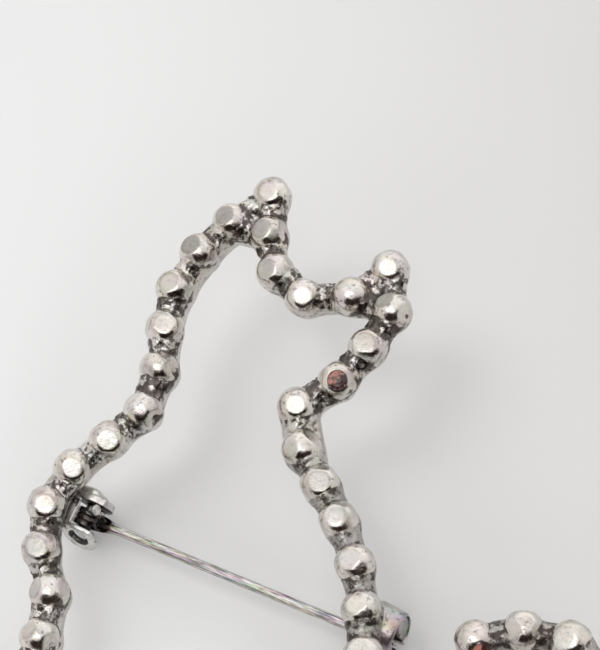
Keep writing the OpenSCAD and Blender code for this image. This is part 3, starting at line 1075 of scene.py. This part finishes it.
def silver(name, light, worn, oxide, polish, relief, oxide_from, tinted):
    """Antiqued silver: polished high spots, oxide and painted shade in the crevices, faint tints."""
    material, nodes, shader, where = new_material(name)
    times, plus, span = nodes.times, nodes.plus, nodes.span
    mix, noise, mark = nodes.mix, nodes.noise, nodes.mark
    broad = noise(where, 420.0, 2.0)
    wave = noise(where, 900.0, 1.0)
    patchy = noise(where, 1150.0, 4.0, 0.6)
    middle = noise(where, 2100.0, 4.0, 0.65)
    mottle = noise(where, 3600.0, 4.0, 0.7)
    fine = noise(where, 7500.0, 3.0, 0.6)
    flat, grime = mark("flat"), mark("grime")
    colour = mix(span(broad, 0.35, 0.65), light, worn)
    colour = mix(tinted, colour, nodes.tint(where, 700.0, 2.0), "OVERLAY")
    dull = times(mark("dull"), span(mottle, 0.3, 0.65, 1.0, 0.6))
    colour = mix(times(dull, 0.75), colour, (0.2, 0.19, 0.175))
    colour = mix(span(mottle, 0.52, 0.75, 0.0, 0.4), colour, (0.3, 0.265, 0.235))
    pits = times(span(middle, 0.45, 0.34), span(flat, 0.0, 1.0, 0.6, 0.15))
    colour = mix(pits, colour, oxide)
    line = times(mark("edge"), span(broad, 0.45, 0.62, 0.0, 0.3))
    colour = mix(line, colour, oxide)
    crevice = plus(grime, span(patchy, 0.36, 0.64, 0.5, -0.5))
    crevice = times(span(crevice, oxide_from, oxide_from + 0.3), span(grime, 0.02, 0.2))
    colour = mix(times(crevice, 0.9), colour, oxide)
    speck = times(span(middle, 0.6, 0.66), grime)
    colour = mix(times(speck, 0.6), colour, light)
    rough = plus(span(fine, 0.3, 0.7, polish, polish + 0.12), times(flat, 0.06))
    rough = plus(rough, plus(times(dull, 0.12), times(crevice, 0.08)))
    scratched = times(fine, plus(times(flat, 0.6), 1.0))
    height = plus(times(scratched, 0.16), times(middle, 0.9))
    height = plus(plus(height, times(mottle, 0.2)), wave)
    normal = nodes.bump(height, 1.0, relief)
    nodes.set(shader, Base_Color=colour, Metallic=1.0, Roughness=rough, Normal=normal)
    return material


def wire_material():
    """Drawn wire: lengthwise streaks with faint heat tints."""
    material, nodes, shader, where = new_material("pin_wire")
    stretch = nodes.add("ShaderNodeMapping", Vector=where, Scale=(0.1, 1.0, 1.0)).outputs["Vector"]
    streaks = nodes.noise(stretch, 7000.0, 3.0)
    colour = nodes.mix(nodes.span(streaks, 0.35, 0.65), (0.78, 0.75, 0.73), (0.22, 0.195, 0.185))
    colour = nodes.mix(0.5, colour, nodes.tint(stretch, 4500.0, 3.0), "OVERLAY")
    colour = nodes.mix(nodes.times(nodes.mark("grime"), 0.95), colour, (0.04, 0.034, 0.03))
    normal = nodes.bump(streaks, 0.4, 0.00003)
    rough = nodes.span(streaks, 0.3, 0.7, 0.1, 0.26)
    nodes.set(shader, Base_Color=colour, Metallic=1.0, Roughness=rough, Normal=normal)
    return material


def stone_material():
    """Rose glass with faint clouds, painted darker on the side of each stone that lies in shade."""
    material, nodes, shader, where = new_material("rose_stone")
    cloud = nodes.noise(where, 1100.0, 3.0)
    cloud_and_shade = nodes.plus(cloud, nodes.span(nodes.mark("shade"), 0.0, 1.0, -0.12, 0.1))
    colour = nodes.mix(nodes.span(cloud_and_shade, 0.46, 0.54), (0.4, 0.17, 0.135), (0.035, 0.012, 0.011))
    rough = nodes.span(cloud, 0.3, 0.7, 0.04, 0.14)
    nodes.set(shader, Base_Color=colour, Roughness=rough, Normal=nodes.bump(cloud, 0.5, 0.00004), IOR=1.6)
    return material


def floor_material():
    """A pale board with painted light: lighter at the upper left and towards the camera."""
    material, nodes, shader, where = new_material("pale_board")
    grain = nodes.noise(where, 900.0, 3.0)
    broad = nodes.noise(where, 9.0, 2.0)
    # Painted light: the colour falls off to the right and rises towards the camera.
    painted_falloff = nodes.span(nodes.dot(where, (0.893, 0.449, 0.0)), -0.03, 0.022)
    colour = nodes.mix(nodes.times(painted_falloff, painted_falloff), FLOOR_LEFT, FLOOR_RIGHT)
    slope = nodes.span(nodes.dot(where, (-0.6, -1.9, 0.0)), -0.1, 0.1, 0.92, 1.12)
    colour = nodes.mix(1.0, colour, slope, "MULTIPLY")
    colour = nodes.mix(nodes.span(broad, 0.3, 0.7, 0.0, 0.02), colour, (0.5, 0.5, 0.5))
    nodes.set(shader, Base_Color=colour, Roughness=0.6, Normal=nodes.bump(grain, 0.04, 0.00005))
    nodes.set(shader, Specular_IOR_Level=0.2)
    return material


# Camera, light and floor

def add_camera():
    camera = bpy.data.cameras.new("camera")
    obj = add_object("camera", camera)
    away = unit(CAMERA_BACK)
    right = unit(CAMERA_RIGHT - away * away.dot(CAMERA_RIGHT))
    up = np.cross(away, right)
    axes = Matrix([list(column) for column in np.stack([right, up, away], 1)]).to_4x4()
    obj.matrix_world = Matrix.Translation([v * MM for v in CAMERA_AT]) @ axes
    camera.sensor_width = SENSOR
    camera.lens = SENSOR * FOCAL_PIXELS / PICTURE_SIDE
    camera.clip_start, camera.clip_end = 0.01, 20
    bpy.context.scene.camera = obj


def add_key():
    """The broad lamp that throws the soft shadow across the board."""
    light = bpy.data.lights.new("key", "SUN")
    light.energy = KEY_POWER
    light.angle = radians(KEY_ANGLE)
    obj = add_object("key", light)
    obj.rotation_euler = Vector(-unit(KEY_TOWARDS)).to_track_quat("-Z", "Y").to_euler()
    obj.visible_glossy = False


def add_world():
    """A pale room: a softbox overhead and a dark side where the camera stands."""
    world = bpy.data.worlds.new("room")
    bpy.context.scene.world = world
    world.use_nodes = True
    nodes = Nodes(world.node_tree)
    out = world.node_tree.nodes["Background"]
    direction = nodes.add("ShaderNodeTexCoord").outputs["Generated"]

    def within(vector, outer, inner):
        """1 inside the inner angle round a direction, 0 beyond the outer one."""
        low, high = cos(radians(outer)), cos(radians(inner))
        return nodes.span(nodes.dot(direction, unit(vector)), low, high)

    room = ROOM
    for towards, outer, inner, radiance in ROOM_PATCHES:
        room = nodes.mix(within(towards, outer, inner), room, radiance)
    spread = nodes.mix(within((0, 0, 1), 64, 48), (LOW_RADIANCE,) * 3, (HIGH_RADIANCE,) * 3)
    spread = nodes.mix(within(CAMERA_BACK, 20, 12), spread, (1.2, 1.2, 1.2))
    path = nodes.add("ShaderNodeLightPath").outputs
    room = nodes.mix(path["Is Diffuse Ray"], room, spread)
    room = nodes.mix(path["Is Camera Ray"], room, (0.8, 0.8, 0.79))
    nodes.set(out, Color=room, Strength=1.0)


def add_floor():
    mesh = bpy.data.meshes.new("floor")
    corners = [(x * FLOOR_HALF, y * FLOOR_HALF, 0) for x, y in ((-1, -1), (1, -1), (1, 1), (-1, 1))]
    mesh.from_pydata(corners, [], [(0, 1, 2, 3)])
    obj = add_object("floor", mesh)
    mesh.materials.append(floor_material())


def listed(table, count, usual):
    return [table.get(i, usual) for i in range(count)]


def build():
    silvers = {name: silver(name + "_silver", *look) for name, look in SILVERS.items()}
    wire = wire_material()
    rose = stone_material()

    def outline_piece(obj, look):
        finish_piece(obj, "brooch", "antiqued_silver", silvers[look], "outline")

    fronts, backs = make_beads()
    beads = fronts + backs
    outline_piece(bead_object("front_beads", fronts), "bead")
    outline_piece(bead_object("back_beads", backs), "bead")
    pairs = pairs_of(front)
    spread = listed(FRONT_WALL, len(pairs), 0)
    amounts = listed(FRONT_OXIDE, len(pairs), OXIDE)
    outline_piece(solder_object("front_solder", pairs, spread, amounts, beads), "solder")
    pairs = pairs_of(back)
    spread = listed(BACK_WALL, len(pairs), 0) + listed(LINK_WALL, len(links), 0)
    amounts = listed(BACK_OXIDE, len(pairs), OXIDE) + listed(LINK_OXIDE, len(links), OXIDE)
    outline_piece(solder_object("back_solder", pairs + links, spread, amounts, beads), "solder")
    outline_piece(hinge_bracket(), "hinge")
    outline_piece(catch_housing(), "catch")
    outline_piece(rim("face_rim", back[FACE_SEAT], FACE_TURN), "bead")
    outline_piece(rim("tail_rim", front[-1], TAIL_TURN), "bead")
    finish_piece(stone("face_gem", back[FACE_SEAT], FACE_TURN), "brooch", "rose_stone", rose, "face_stone")
    finish_piece(stone("tail_gem", front[-1], TAIL_TURN), "brooch", "rose_stone", rose, "tail_stone")
    finish_piece(rivet(), "brooch", "antiqued_silver", silvers["fitting"], "hinge_rivet")
    finish_piece(pin(), "pin", "pin_wire", wire, "pin_stem")
    finish_piece(cut_end(), "pin", "pin_wire", silvers["hinge"], "pin_stem")
    finish_piece(catch_sleeve(), "catch", "antiqued_silver", silvers["catch"], "catch_sleeve")


add_camera()
add_floor()
add_world()
add_key()
build()
bpy.context.scene.view_settings.view_transform = "Standard"
